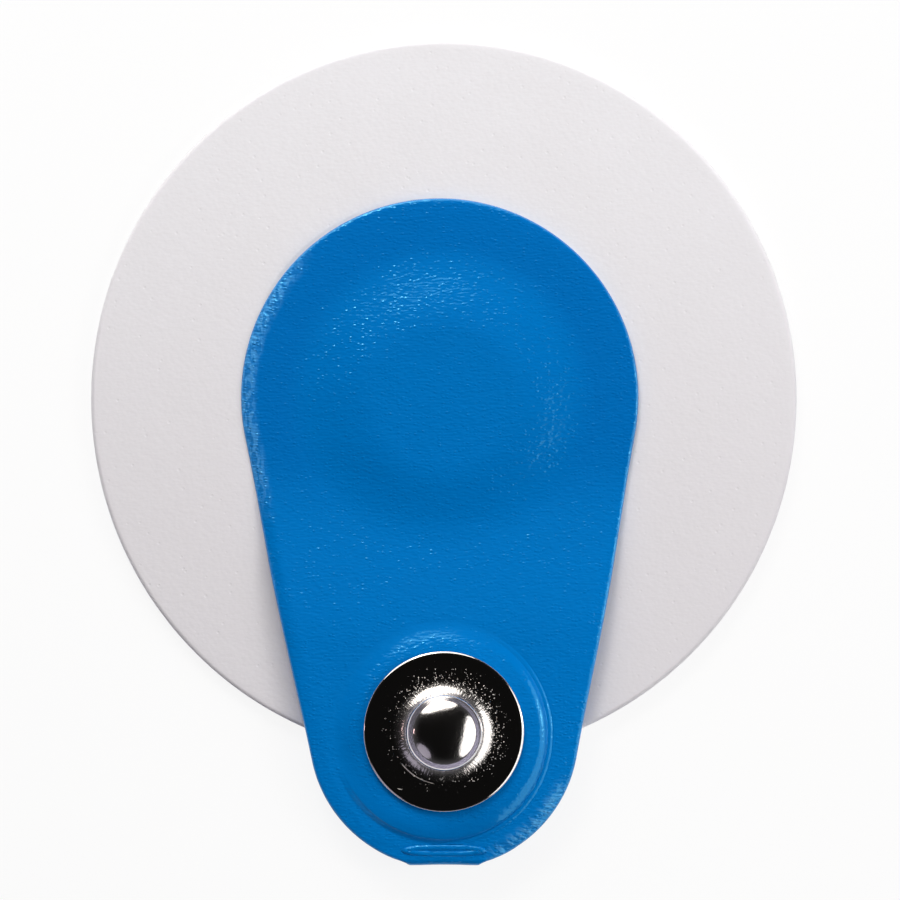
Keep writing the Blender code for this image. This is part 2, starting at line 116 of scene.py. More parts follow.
RISE_START_Y = RISE_OVERLAP - PAD_RADIUS
RISE_END_Y = STUD_Y + FLAP_RADIUS + RISE_CLEARANCE
SHANK_HOLE_RADIUS = 1.6 * MM

# Press stud, drawn from sheet. Its flange's top sinks by FILLET_SINK just outside the fillet. The
# head has a rolled edge, a straight shoulder and a domed cap, and leans from LEAN_DEPTH below its
# top. The scratch lies on the flange at SCRATCH from the axis, and the scored arc goes round it.
STUD_SECTORS = 320
STUD_SHEET = 0.3 * MM
FLANGE_THICKNESS = 0.36 * MM
RIM_ROLL = 0.28 * MM
NECK_RADIUS = 2.14 * MM
FILLET_RADIUS = 1.43 * MM
FILLET_SINK = 0.02 * MM
SINK_START = 0.09 * MM
SINK_END = 0.03 * MM
HEAD_RADIUS_OF_STUD = 2.58 * MM
HEAD_DOME = 1.2 * MM
HEAD_ROLL = 0.258 * MM
HEAD_ROLL_HEIGHT = 0.439 * MM
SHOULDER_STEPS = (0.15, 0.35, 0.55, 0.75, 0.9)
CAP_SHARE = 0.82
HEAD_LEAN = (0.06 * MM, 0.05 * MM)
LEAN_DEPTH = 2.0 * HEAD_DOME
SCRATCH = (-3.0 * MM, -3.85 * MM)
SCRATCH_HALF_SIZE = (0.42 * MM, 0.05 * MM)
SCORED_ARC_RADIUS = 3.57 * MM

# Band along the label's cut edge that is pressed down, and the direction in which the plateau's
# foot is crisp, clockwise from +Y
EDGE_BAND = 1.15 * MM
CRISP_TURN = math.radians(104.0)

# The band at the tab's lower right, with wrinkles and painted highlight strokes, fades in over
# these distances from the stud's axis, to the right and down. Its strokes run across the band, and
# the wrinkles have the same pattern.
WRINKLES_AND_PAINTED_GLINT_RIGHT = (2.5 * MM, 4.5 * MM)
WRINKLES_AND_PAINTED_GLINT_DOWN = (2.6 * MM, 5.2 * MM)
STROKE_SIZE = 0.26 * MM
STROKE_SEED = 0.7

# Spacing of the points that the label's two skins are made from
OUTLINE_SPACING = 0.13 * MM
TOP_SPACING = 0.15 * MM
BAND_SPACING = 0.08 * MM
INNER_SPACING = 0.7 * MM
FLAP_SPACING = 0.3 * MM
HOLE_SPACING = 0.2 * MM
PLATEAU_SPACING = 0.1 * MM
FINE_SPACING = 0.05 * MM
EDGE_RINGS = (0.01 * MM, 0.03 * MM, 0.06 * MM, 0.1 * MM)
FOLD_ROWS = 26
FOLD_HALF_FIELD = 4.0 * MM
PLATEAU_FIELD = 1.6 * MM

# Crease above the fold: a lens with two raised lips
CREASE_HALF_WIDTH = 2.62 * MM
CREASE_HALF_HEIGHT = 0.21 * MM
CREASE_ABOVE_END = 1.08 * MM
CREASE_LIP = 0.09 * MM
CREASE_HALF_FIELD = 0.4 * MM

# Camera and floor
CAMERA_HEIGHT = 400 * MM
FRAME_WIDTH = 61.19 * MM
FRAME_CENTRE = (0.415 * MM, -3.48 * MM)
FLOOR_DEPTH = 0.02 * MM
FLOOR_GLOW = 0.88


class Value:
    """A node's socket that Python's operators calculate with, by adding Math nodes."""

    def __init__(self, tree, socket):
        self.tree = tree
        self.socket = socket

    def __add__(self, other):
        return self.tree.math("ADD", self, other)

    def __radd__(self, other):
        return self.tree.math("ADD", other, self)

    def __sub__(self, other):
        return self.tree.math("SUBTRACT", self, other)

    def __rsub__(self, other):
        return self.tree.math("SUBTRACT", other, self)

    def __mul__(self, other):
        return self.tree.math("MULTIPLY", self, other)

    def __truediv__(self, other):
        return self.tree.math("DIVIDE", self, other)

    def __neg__(self):
        return self.tree.math("MULTIPLY", self, -1.0)


class Tree:
    """A shader or geometry node tree that grows as Python expressions are written."""

    def __init__(self, node_tree):
        self.nodes = node_tree.nodes
        self.links = node_tree.links

    def node(self, kind, settings=None, inputs=None, output=0):
        """A new node. Its settings are set first, then the values or links of its sockets."""
        made = self.nodes.new(kind)
        for name, value in (settings or {}).items():
            setattr(made, name, value)
        for name, value in (inputs or {}).items():
            if isinstance(value, Value):
                self.links.new(value.socket, made.inputs[name])
            else:
                made.inputs[name].default_value = value
        return Value(self, made.outputs[output])

    def math(self, operation, *values):
        return self.node(
            "ShaderNodeMath", {"operation": operation}, dict(enumerate(values))
        )

    def parts(self, vector):
        """The X, Y and Z of a vector."""
        x = self.node("ShaderNodeSeparateXYZ", inputs={0: vector})
        outputs = x.socket.node.outputs
        return [Value(self, outputs[i]) for i in range(3)]

    def vector(self, x, y, z):
        return self.node("ShaderNodeCombineXYZ", inputs={0: x, 1: y, 2: z})

    def smooth(self, value, start, end):
        """0 at start, 1 at end, and an S curve between them."""
        return self.node(
            "ShaderNodeMapRange",
            {"interpolation_type": "SMOOTHSTEP"},
            {0: value, 1: start, 2: end, 3: 0.0, 4: 1.0},
        )

    def distance(self, x, y):
        return self.math("SQRT", x * x + y * y)

    def noise(self, vector, size, detail=2.0, roughness=0.5):
        """Cloudy noise whose features are about size metres wide."""
        return self.node(
            "ShaderNodeTexNoise",
            {"noise_dimensions": "3D"},
            {"Vector": vector, "Scale": 1 / size, "Detail": detail, "Roughness": roughness},
        )

    def cells(self, vector, size, feature="F1", output="Distance"):
        """Cells about size metres wide."""
        return self.node(
            "ShaderNodeTexVoronoi",
            {"feature": feature},
            {"Vector": vector, "Scale": 1 / size},
            output,
        )

    def strokes(self, turn, far, seed):
        """Noise in slanted strokes that run towards the stud, from the turn round its axis in
        radians and the distance from it."""
        place = self.vector(turn * 9.0 * MM + far * 0.4, far * 0.3, seed)
        return self.noise(place, STROKE_SIZE, 0.5)

    def stretched(self, vector, x, y):
        return self.node(
            "ShaderNodeVectorMath", {"operation": "MULTIPLY"}, {0: vector, 1: (x, y, 1.0)}
        )

    def moved(self, vector, offset):
        return self.node(
            "ShaderNodeVectorMath", {"operation": "ADD"}, {0: vector, 1: offset}
        )

    def colour(self, factor, first, second):
        """A blend of two colours."""
        return self.node(
            "ShaderNodeMix",
            {"data_type": "RGBA"},
            {0: factor, 6: first, 7: second},
            2,
        )


class Form(Tree):
    """A geometry node tree with named inputs for its sizes. shape(form, geometry, size) adds what
    the tree does, and it ends in Realize Instances and Set Material."""

    def __init__(self, name, sizes, finish, shape):
        self.group = bpy.data.node_groups.new(name, "GeometryNodeTree")
        super().__init__(self.group)
        face = self.group.interface
        face.new_socket("Geometry", in_out="INPUT", socket_type="NodeSocketGeometry")
        self.sizes = {}
        for size_name, value in sizes.items():
            socket = face.new_socket(size_name, in_out="INPUT", socket_type="NodeSocketFloat")
            self.sizes[socket.identifier] = value
        face.new_socket("Geometry", in_out="OUTPUT", socket_type="NodeSocketGeometry")
        source = self.nodes.new("NodeGroupInput")
        size = {name: Value(self, source.outputs[name]) for name in sizes}
        geometry = shape(self, Value(self, source.outputs["Geometry"]), size)
        real = self.node("GeometryNodeRealizeInstances", inputs={"Geometry": geometry})
        done = self.node(
            "GeometryNodeSetMaterial", inputs={"Geometry": real, "Material": finish}
        )
        target = self.nodes.new("NodeGroupOutput")
        self.links.new(done.socket, target.inputs["Geometry"])

    def attribute(self, name):
        return self.node("GeometryNodeInputNamedAttribute", inputs={"Name": name})

    def position(self):
        return self.node("GeometryNodeInputPosition")

    def placed(self, geometry, **sockets):
        """The geometry with its points set to a Position or moved by an Offset."""
        return self.node(
            "GeometryNodeSetPosition", inputs={"Geometry": geometry, **sockets}
        )

    def pushed(self, geometry, amount):
        """The geometry with its points moved along their normals."""
        normal = self.node("GeometryNodeInputNormal")
        offset = self.node(
            "ShaderNodeVectorMath", {"operation": "SCALE"}, {0: normal, "Scale": amount}
        )
        return self.placed(geometry, Offset=offset)

    def applied(self, source):
        """A plain mesh of what the tree makes from an object, which is then removed."""
        change = source.modifiers.new(self.group.name, "NODES")
        change.node_group = self.group
        for identifier, value in self.sizes.items():
            change[identifier] = value
        graph = bpy.context.evaluated_depsgraph_get()
        mesh = bpy.data.meshes.new_from_object(source.evaluated_get(graph))
        bpy.data.objects.remove(source)
        return mesh


def piece(name, data):
    """A new object in the scene, made from a mesh, a lamp or a camera."""
    made = bpy.data.objects.new(name, data)
    bpy.context.scene.collection.objects.link(made)
    return made


def finished(obj, node):
    """A piece that rides on the body and stands for a node of the fixed model."""
    obj.data.shade_smooth()
    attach(obj, "root")
    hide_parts(node)
    return obj


def steps_between(first, last, count):
    return [first + (last - first) * i / (count - 1) for i in range(count)]


def arc(centre, radius, start, end, count):
    """Points along an arc, both ends included. Angles are in degrees."""
    turns = (math.radians(turn) for turn in steps_between(start, end, count))
    return [(centre[0] + radius * math.cos(t), centre[1] + radius * math.sin(t)) for t in turns]


def turned(name, profile, steps, closed=False):
    """A shape turned about Z from (radius, height) points. A closed profile is joined up from its
    last point to its first."""
    bm = bmesh.new()
    points = [bm.verts.new((radius, 0.0, height)) for radius, height in profile]
    edges = [bm.edges.new(pair) for pair in zip(points, points[1:])]
    if closed:
        edges.append(bm.edges.new((points[-1], points[0])))
    bmesh.ops.spin(
        bm,
        geom=points + edges,
        cent=(0.0, 0.0, 0.0),
        axis=(0.0, 0.0, 1.0),
        angle=math.tau,
        steps=steps,
        use_merge=True,
    )
    bmesh.ops.remove_doubles(bm, verts=bm.verts, dist=1e-7)
    loose = [edge for edge in bm.edges if not edge.link_faces]
    bmesh.ops.delete(bm, geom=loose, context="EDGES")
    bmesh.ops.recalc_face_normals(bm, faces=bm.faces)
    mesh = bpy.data.meshes.new(name)
    bm.to_mesh(mesh)
    bm.free()
    return mesh


def material(name, roughness, metallic=0.0, **constants):
    """A finish with its node tree and its shader. What is the same all over is set here."""
    finish = bpy.data.materials.new(name)
    finish.use_nodes = True
    shader = finish.node_tree.nodes["Principled BSDF"]
    shader.inputs["Roughness"].default_value = roughness
    shader.inputs["Metallic"].default_value = metallic
    for socket, value in constants.items():
        shader.inputs[socket.replace("_", " ")].default_value = value
    return finish, Tree(finish.node_tree), shader


def feed(tree, shader, **links):
    for socket, value in links.items():
        tree.links.new(value.socket, shader.inputs[socket.replace("_", " ")])


def object_place(tree):
    return tree.node("ShaderNodeTexCoord", output="Object")


def bump(tree, height, strength, distance):
    """A Bump node for a height whose unit stands for distance metres."""
    inputs = {"Strength": strength, "Distance": distance, "Height": height}
    return tree.node("ShaderNodeBump", inputs=inputs)


def vinyl():
    """Soft blue vinyl with a fine grain. It carries painted shade round the dome's upper half, a
    painted highlight along its cut edge and painted highlight streaks in two bands, at the left and
    lower right."""
    finish, tree, shader = material(
        "blue_vinyl", 0.13, Specular_Tint=(0.22, 0.82, 1.0, 1.0), Specular_IOR_Level=0.9
    )
    place = object_place(tree)
    x, y, _ = tree.parts(place)
    reach = tree.distance(x - HEAD_CENTRE[0], y - HEAD_CENTRE[1])
    # Painted shade: mask for darker vinyl round the dome's upper half, between its slope and the
    # rim
    pressed = tree.smooth(reach, 8.5 * MM, 10.8 * MM) * tree.smooth(y, -9.0 * MM, -2.0 * MM)
    cloudy = tree.noise(place, 3.0 * MM, 3.0)
    towards_tab = tree.smooth(-y, 0.0, 20.0 * MM)
    tone = tree.colour(towards_tab, (0.0, 0.198, 0.615, 1.0), (0.0, 0.222, 0.685, 1.0))
    # Painted shade mixed in round the dome's upper half
    tone = tree.colour(pressed * 0.6, tone, (0.0, 0.16, 0.55, 1.0))
    tone = tree.colour(cloudy * 0.2, tone, (0.0, 0.17, 0.57, 1.0))
    from_edge = tree.node(
        "ShaderNodeAttribute",
        {"attribute_type": "GEOMETRY", "attribute_name": "from_edge"},
        output="Fac",
    )
    # Painted highlight: a paler blue line along the cut edge
    cut = 1.0 - tree.smooth(from_edge, 0.04 * MM, 0.14 * MM)
    tone = tree.colour(cut * 0.45, tone, (0.16, 0.42, 0.82, 1.0))
    # Painted highlight: pale blue streaks in a band at the left edge and in one at the tab's lower
    # right, standing for lit grain
    band = 1.0 - tree.smooth(from_edge, 0.5 * MM, 1.25 * MM)
    left = band * tree.smooth(-x, 8.5 * MM, 11.5 * MM) * tree.smooth(y, -9.0 * MM, -4.0 * MM)
    low_right = band * (tree.smooth(x, *WRINKLES_AND_PAINTED_GLINT_RIGHT) * tree.smooth(STUD_Y - y, *WRINKLES_AND_PAINTED_GLINT_DOWN))
    across, along = x - STUD_X, y - STUD_Y
    stud_far = tree.distance(across, along)
    round_stud = tree.math("ARCTAN2", across, along)
    strokes = tree.smooth(tree.strokes(round_stud, stud_far, STROKE_SEED), 0.47, 0.58)
    upright = tree.noise(tree.stretched(place, 1.0, 0.4), 0.22 * MM, 0.5)
    upright = tree.smooth(upright, 0.42, 0.6)
    painted_glint_streaks = left * (0.25 + upright * 0.65) + low_right * (0.12 + strokes * 0.85)
    tone = tree.colour(painted_glint_streaks, tone, (0.07, 0.37, 0.84, 1.0))
    wide = tree.stretched(place, 0.62, 1.0)
    cell = 0.17 * MM
    chance, _, _ = tree.parts(tree.cells(wide, cell, output="Color"))
    bumps = 1.0 - tree.smooth(tree.cells(wide, cell), 0.05, 0.6)
    bumps = bumps * tree.smooth(chance, 0.35, 1.0)
    dashes = tree.noise(tree.stretched(place, 0.4, 1.0), 0.16 * MM, 0.0)
    sloped = tree.smooth(stud_far, 6.2 * MM, 6.7 * MM)
    sloped = sloped * (1.0 - tree.smooth(stud_far, 7.3 * MM, 7.7 * MM))
    grain = bumps * 0.9 + dashes * 1.1
    grain = grain * (1.0 + left * 1.6 + low_right * 1.6 - sloped * 0.65)
    relief = bump(tree, grain, 1.0, 0.021 * MM)
    rough = 0.11 + cloudy * 0.05
    feed(tree, shader, Base_Color=tone, Roughness=rough, Normal=relief)
    return finish


def foam():
    """White closed-cell foam with painted shade that darkens it towards the tab. Its underside is
    coated with clear adhesive.
    """
    finish, tree, shader = material("white_foam", 0.6, Specular_IOR_Level=0.35)
    place = object_place(tree)
    x, y, z = tree.parts(place)
    under = 1.0 - tree.smooth(z, 0.01 * MM, 0.06 * MM)
    cloudy = tree.noise(place, 5.0 * MM, 3.0)
    streaks = tree.noise(tree.stretched(place, 0.35, 1.0), 0.16 * MM, 3.0, 0.6)
    # Painted shade: the foam turns darker and pinker towards the tab
    towards_tab = tree.smooth(-y, -22.0 * MM, 14.0 * MM)
    tone = tree.colour(towards_tab, (0.95, 0.95, 0.985, 1.0), (0.875, 0.85, 0.885, 1.0))
    tone = tree.colour(cloudy * 0.5, tone, (0.87, 0.86, 0.875, 1.0))
    tone = tree.colour(streaks * 0.5, tone, (0.84, 0.81, 0.83, 1.0))
    tone = tree.colour(under, tone, (0.80, 0.78, 0.74, 1.0))
    pebbles = tree.cells(place, 0.24 * MM, "SMOOTH_F1")
    pits = 1.0 - tree.smooth(tree.cells(place, 0.8 * MM), 0.05, 0.16)
    relief = bump(tree, pebbles * 0.6 + streaks * 0.6 - pits * 0.8, 0.8, 0.018 * MM)
    rough = 0.62 - under * 0.35
    feed(tree, shader, Base_Color=tone, Roughness=rough, Normal=relief, Coat_Weight=under * 0.6)
    return finish


def wet_sponge():
    """Open sponge, off-white, filled with clear wet gel."""
    finish, tree, shader = material("wet_sponge", 0.25, Coat_Roughness=0.04)
    place = object_place(tree)
    pores = tree.cells(place, 0.5 * MM, "DISTANCE_TO_EDGE")
    fibres = 1.0 - tree.smooth(pores, 0.02, 0.22)
    tone = tree.colour(fibres, (0.62, 0.60, 0.50, 1.0), (0.86, 0.84, 0.74, 1.0))
    cloudy = tree.noise(place, 1.5 * MM)
    feed(
        tree,
        shader,
        Base_Color=tone,
        Roughness=0.18 + fibres * 0.3,
        Coat_Weight=0.6 + cloudy * 0.4,
        Normal=bump(tree, fibres, 0.6, 0.05 * MM),
    )
    return finish


def polished_nickel():
    """Drawn and polished nickel plate. The stud's fillet is finely streaked, the flange is pitted
    round it, and one scratch and one scored arc lie at the lower left."""
    finish, tree, shader = material("polished_nickel", 0.07, 1.0)
    place = object_place(tree)
    x, y, _ = tree.parts(place)
    across, along = x - STUD_X, y - STUD_Y
    reach = tree.distance(across, along)
    ring = tree.smooth(reach, 3.0 * MM, 3.3 * MM)
    ring = ring * (1.0 - tree.smooth(reach, 3.4 * MM, 4.8 * MM))
    lit_side = tree.smooth(across + along, -3.0 * MM, 3.0 * MM)
    head = 1.0 - tree.smooth(reach, 2.4 * MM, 2.6 * MM)
    fillet = (1.0 - head) * (1.0 - tree.smooth(reach, 3.2 * MM, 3.6 * MM))
    smudges = tree.noise(place, 1.2 * MM, 3.0)
    tone = tree.colour(smudges, (0.88, 0.84, 0.80, 1.0), (0.80, 0.76, 0.73, 1.0))
    long = tree.stretched(place, 1.0, 0.7)
    cell = 0.08 * MM
    chance, depth, _ = tree.parts(tree.cells(long, cell, output="Color"))
    specks = 1.0 - tree.smooth(tree.cells(long, cell), 0.15, 0.5)
    often = ring * (0.35 + lit_side * 0.65)
    pitted = specks * tree.smooth(chance + often * 0.6, 0.95, 1.1) * (0.2 + depth * 0.8)
    scored_side = tree.smooth(-(across * 0.53 + along * 0.85) / reach, 0.91, 0.96)
    off_arc = tree.math("ABSOLUTE", reach - SCORED_ARC_RADIUS)
    scored = (1.0 - tree.smooth(off_arc, 0.005 * MM, 0.04 * MM)) * scored_side
    round_stud = tree.math("ARCTAN2", across, along)
    radial = tree.vector(round_stud * 3.2 * MM, reach * 0.3, 0.2)
    streaks = tree.noise(radial, 0.13 * MM, 1.0)
    along_scratch = (across - SCRATCH[0]) * 0.98 - (along - SCRATCH[1]) * 0.2
    over_scratch = (across - SCRATCH[0]) * 0.2 + (along - SCRATCH[1]) * 0.98
    half_length, half_width = SCRATCH_HALF_SIZE
    far = tree.distance(along_scratch / half_length, over_scratch / half_width)
    scratch = 1.0 - tree.smooth(far, 0.3, 1.0)
    haze = tree.noise(place, 0.14 * MM, 1.0)
    height = haze * (fillet * 0.5 + head * 0.3) + streaks * fillet * 1.7
    height = height - pitted - scratch - scored
    relief = bump(tree, height, 1.0, 0.012 * MM)
    rough = 0.08 + smudges * 0.03 + fillet * 0.1 + head * 0.03 + (pitted + scored) * 0.4
    feed(tree, shader, Base_Color=tone, Roughness=rough, Normal=relief)
    return finish


def hidden_finish(name, first, second, roughness, metallic=0.0):
    """A finish for an inner piece: a mottled colour with a fine uneven surface."""
    finish, tree, shader = material(name, roughness, metallic)
    place = object_place(tree)
    cloudy = tree.noise(place, 0.6 * MM, 3.0)
    fine = tree.noise(place, 0.08 * MM)
    tone = tree.colour(cloudy, (*first, 1.0), (*second, 1.0))
    feed(
        tree,
        shader,
        Base_Color=tone,
        Roughness=roughness * 0.8 + cloudy * roughness * 0.4,
        Normal=bump(tree, fine, 0.4, 0.01 * MM),
    )
    return finish


def neck_half_width(past):
    """Half the sheet's width at a distance past the fold line. It narrows round the fold."""
    chord = math.sqrt(max(0.0, TAB_RADIUS**2 - (TAB_CENTRE[1] - FOLD_LINE_Y) ** 2))
    neck = NECK_WIDTH / 2
    turn = min(1.0, 2.0 * past / FOLD_ARC) * math.pi / 2
    return neck + (max(chord, neck) - neck) * (1.0 - math.sin(turn))


def label_side(side):
    """One side of the flat cut outline, from the top of the head to the flap's far end. side is 1
    towards +X, or -1."""
    head, tab = Vector(HEAD_CENTRE), Vector(TAB_CENTRE)
    along = (tab - head).normalized()
    across = Vector((-along.y, along.x)) * side
    lean = (HEAD_RADIUS - TAB_RADIUS) / (tab - head).length
    normal = along * lean + across * math.sqrt(1.0 - lean * lean)
    lean_angle = math.degrees(math.atan2(normal.y, normal.x * side))
    head_arc = arc((0.0, head.y), HEAD_RADIUS, 90.0, lean_angle, 90)
    points = [(head.x + side * x, y) for x, y in head_arc]
    start, end = head + normal * HEAD_RADIUS, tab + normal * TAB_RADIUS
    for t in steps_between(0.0, 1.0, 60)[1:-1]:
        bulge = SIDE_BULGE * math.sin(math.pi * t) ** 2
        points.append(tuple(start.lerp(end, t) + normal * bulge))
    fold_angle = -math.degrees(math.asin(min(1.0, (tab.y - FOLD_LINE_Y) / TAB_RADIUS)))
    tab_arc = arc((0.0, tab.y), TAB_RADIUS, lean_angle, fold_angle, 60)
    points += [(tab.x + side * x, y) for x, y in tab_arc[:-1]]
    for past in steps_between(0.0, FOLD_ARC, FOLD_ROWS + 1):
        points.append((STUD_X + side * neck_half_width(past), FOLD_LINE_Y - past))
    flap_start = math.degrees(math.acos(NECK_WIDTH / 2 / FLAP_RADIUS))
    flap_arc = arc((0.0, FLAP_CENTRE[1]), FLAP_RADIUS, flap_start, -90.0, 90)
    points += [(STUD_X + side * x, y) for x, y in flap_arc]
    return points


def respaced(loop, spacing):
    """A closed loop of points at even spacing along the same line."""
    closed = np.array(loop + loop[:1])
    steps = np.linalg.norm(np.diff(closed, axis=0), axis=1)
    along = np.concatenate([[0.0], np.cumsum(steps)])
    count = int(round(along[-1] / spacing))
    wanted = np.linspace(0.0, along[-1], count, endpoint=False)
    return np.stack([np.interp(wanted, along, closed[:, i]) for i in (0, 1)], axis=1)


def inward(loop):
    """Unit vectors that point into a counter-clockwise loop at each of its points."""
    along = np.roll(loop, -1, axis=0) - np.roll(loop, 1, axis=0)
    along /= np.linalg.norm(along, axis=1)[:, None]
    return np.stack([-along[:, 1], along[:, 0]], axis=1)


def inside(points, loop):
    """Which of the points lie in a closed loop."""
    x, y = points[:, 0], points[:, 1]
    found = np.zeros(len(points), bool)
    for (ax, ay), (bx, by) in zip(loop, np.roll(loop, -1, axis=0)):
        if ay != by:
            crossed = (y < ay) != (y < by)
            found ^= crossed & (x < ax + (y - ay) * (bx - ax) / (by - ay))
    return found


def staggered(low, high, spacing):
    """A field of evenly staggered points between two corners."""
    rows = np.arange(low[1], high[1], spacing * math.sqrt(0.75))
    across = np.arange(low[0], high[0], spacing)
    return np.concatenate(
        [
            np.stack([across + (i % 2) * spacing / 2, np.full(len(across), y)], axis=1)
            for i, y in enumerate(rows)
        ]
    )


def rings_of_points(centre, radii, spacing):
    """Points on rings about a centre."""
    rings = []
    for radius in radii:
        count = int(math.tau * radius / spacing)
        turns = np.linspace(0.0, math.tau, count, endpoint=False)
        rings.append(
            np.stack([centre[0] + radius * np.cos(turns), centre[1] + radius * np.sin(turns)], 1)
        )
    return np.concatenate(rings)


def nearest(points, others):
    """Each point's distance from the nearest of the others."""
    tree = KDTree(len(others))
    for i, other in enumerate(others):
        tree.insert((*other, 0.0), i)
    tree.balance()
    return np.array([tree.find((*point, 0.0))[2] for point in points])


def skin(outline, hole, rings, groups):
    """The flat cut sheet as triangles. outline and hole are its loops, rings are loops just
    inside its edge, and groups are fields of points with their spacing. Returns the points, the
    outline and the hole coming first, and the triangles without the slivers that would lie along
    the outline."""
    points = np.concatenate([outline, hole, *rings])
    edges = []
    first = 0
    for loop in (outline, hole, *rings):
        count = len(loop)
        edges += [(first + i, first + (i + 1) % count) for i in range(count)]
        first += count
    innermost = rings[-1]
    for spacing, field in groups:
        field = field[inside(field, innermost) & ~inside(field, hole)]
        field = field[nearest(field, points) > spacing * 0.62]
        points = np.concatenate([points, field])
    flat = [Vector(point) for point in points]
    corners, _, faces, origins, _, _ = delaunay_2d_cdt(flat, edges, [], 0, 1e-9)
    place = {new: old[0] for new, old in enumerate(origins)}
    faces = np.array([[place[i] for i in face] for face in faces])
    middles = points[faces].mean(axis=1)
    off_rim = faces.max(axis=1) >= len(outline)
    return points, faces[inside(middles, outline) & ~inside(middles, hole) & off_rim]


def upward(points, faces):
    """The triangles, all turned counter-clockwise."""
    a, b, c = (points[faces[:, i]] for i in range(3))
    area = (b[:, 0] - a[:, 0]) * (c[:, 1] - a[:, 1]) - (b[:, 1] - a[:, 1]) * (c[:, 0] - a[:, 0])
    faces = faces.copy()
    faces[area < 0] = faces[area < 0][:, ::-1]
    return faces


def flat_label():
    """The label's two skins as one flat object, with each point's distance from the cut edge,
    and the loops that are joined round the rim once the skins are apart."""
    right, left = label_side(1), label_side(-1)
    outline = respaced(right + left[-2:0:-1], OUTLINE_SPACING)[::-1]
    hole = rings_of_points((STUD_X, STUD_Y), [SHANK_HOLE_RADIUS], HOLE_SPACING)
    rings = [outline + inward(outline) * depth for depth in EDGE_RINGS]
    low = (LABEL_LOW.x, FLAP_CENTRE[1] - FLAP_RADIUS)
    crease_y = LABEL_LOW.y + CREASE_ABOVE_END
    crease = staggered(
        (STUD_X - CREASE_HALF_WIDTH * 1.1, crease_y - CREASE_HALF_FIELD),
        (STUD_X + CREASE_HALF_WIDTH * 1.1, crease_y + CREASE_HALF_FIELD),
        FINE_SPACING,
    )
    fold = np.array(
        [
            (x, FOLD_LINE_Y - past)
            for past in steps_between(0.0, FOLD_ARC, FOLD_ROWS + 1)
            for x in np.arange(-FOLD_HALF_FIELD, FOLD_HALF_FIELD, OUTLINE_SPACING)
        ]
    )
    plateau_radii = steps_between(PLATEAU_EDGE, PLATEAU_EDGE + PLATEAU_FIELD, 24)
    plateau = rings_of_points((STUD_X, STUD_Y), plateau_radii, PLATEAU_SPACING)
    top = staggered((LABEL_LOW.x, FOLD_LINE_Y), (LABEL_HIGH.x, LABEL_HIGH.y), TOP_SPACING)
    under = staggered(low, (LABEL_HIGH.x, FOLD_LINE_Y - FOLD_ARC), FLAP_SPACING)
    left_band = staggered(
        (LABEL_LOW.x, HEAD_CENTRE[1] - 0.7 * HEAD_RADIUS),
        (LABEL_LOW.x + 3.0 * MM, HEAD_CENTRE[1] + 0.7 * HEAD_RADIUS),
        BAND_SPACING,
    )
    low_band = staggered(
        (STUD_X + 2.5 * MM, TAB_CENTRE[1] - TAB_RADIUS),
        (STUD_X + TAB_RADIUS, TAB_CENTRE[1] - 1.5 * MM),
        BAND_SPACING,
    )
    far = np.linalg.norm(left_band - HEAD_CENTRE, axis=1)
    left_band = left_band[far > HEAD_RADIUS - EDGE_BAND]
    far = np.linalg.norm(low_band - TAB_CENTRE, axis=1)
    low_band = low_band[far > TAB_RADIUS - EDGE_BAND]
    outer = [
        (FINE_SPACING, crease),
        (FINE_SPACING, fold),
        (PLATEAU_SPACING, plateau),
        (BAND_SPACING, left_band),
        (BAND_SPACING, low_band),
        (TOP_SPACING, top),
        (FLAP_SPACING, under),
    ]
    field = staggered(low, (LABEL_HIGH.x, LABEL_HIGH.y), INNER_SPACING)
    inner = [(FINE_SPACING, fold[::2]), (INNER_SPACING, field)]
    points, faces = skin(outline, hole, rings, outer)
    inner_points, inner_faces = skin(outline, hole, rings[-1:], inner)
    faces, inner_faces = upward(points, faces), upward(inner_points, inner_faces)[:, ::-1]
    count = len(points)
    both = np.concatenate([points, inner_points])
    mesh = bpy.data.meshes.new("flat_label")
    mesh.from_pydata(
        [(x, y, 0.0) for x, y in both],
        [],
        np.concatenate([faces, inner_faces + count]).tolist(),
    )
    fine_outline = respaced(outline.tolist(), 0.02 * MM)
    from_edge = nearest(both, fine_outline)
    from_edge[: len(outline)] = 0.0
    from_edge[count : count + len(outline)] = 0.0
    attribute = mesh.attributes.new("from_edge", "FLOAT", "POINT")
    attribute.data.foreach_set("value", from_edge.astype(np.float32))
    attribute = mesh.attributes.new("outer_skin", "FLOAT", "POINT")
    outer_skin = np.zeros(len(both), np.float32)
    outer_skin[:count] = 1.0
    attribute.data.foreach_set("value", outer_skin)
    return piece("flat_label", mesh), count, len(outline), len(hole)


